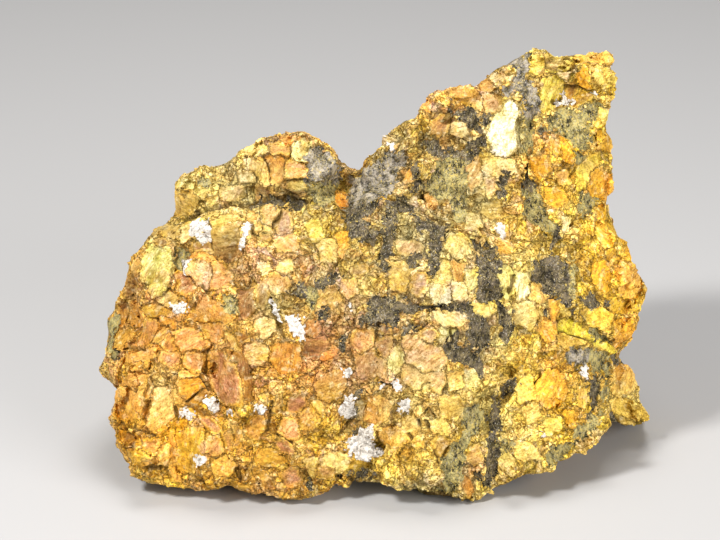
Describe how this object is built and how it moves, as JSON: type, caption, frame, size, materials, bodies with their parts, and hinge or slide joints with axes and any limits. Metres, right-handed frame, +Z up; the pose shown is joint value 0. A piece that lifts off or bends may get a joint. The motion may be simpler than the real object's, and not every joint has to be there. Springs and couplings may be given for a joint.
{
  "type": "orpiment specimen",
  "caption": "Loose broken lump of foliated orpiment with seams of dark host rock: a low rounded dome on the left, a tall ridge rising to a peak on the right, and a flat resting face.",
  "frame": {"origin": "middle of the lump's box in plan, on the surface it rests on", "axes": "+Z up, +X along the lump's length towards its peak, -Y towards the show face"},
  "size_m": [0.1276, 0.0862, 0.0932],
  "materials": {
    "orpiment": "resinous to pearly cleavage faces with dull grey host rock"
  },
  "bodies": {
    "root": {"specimen": "orpiment"}
  },
  "joints": []
}
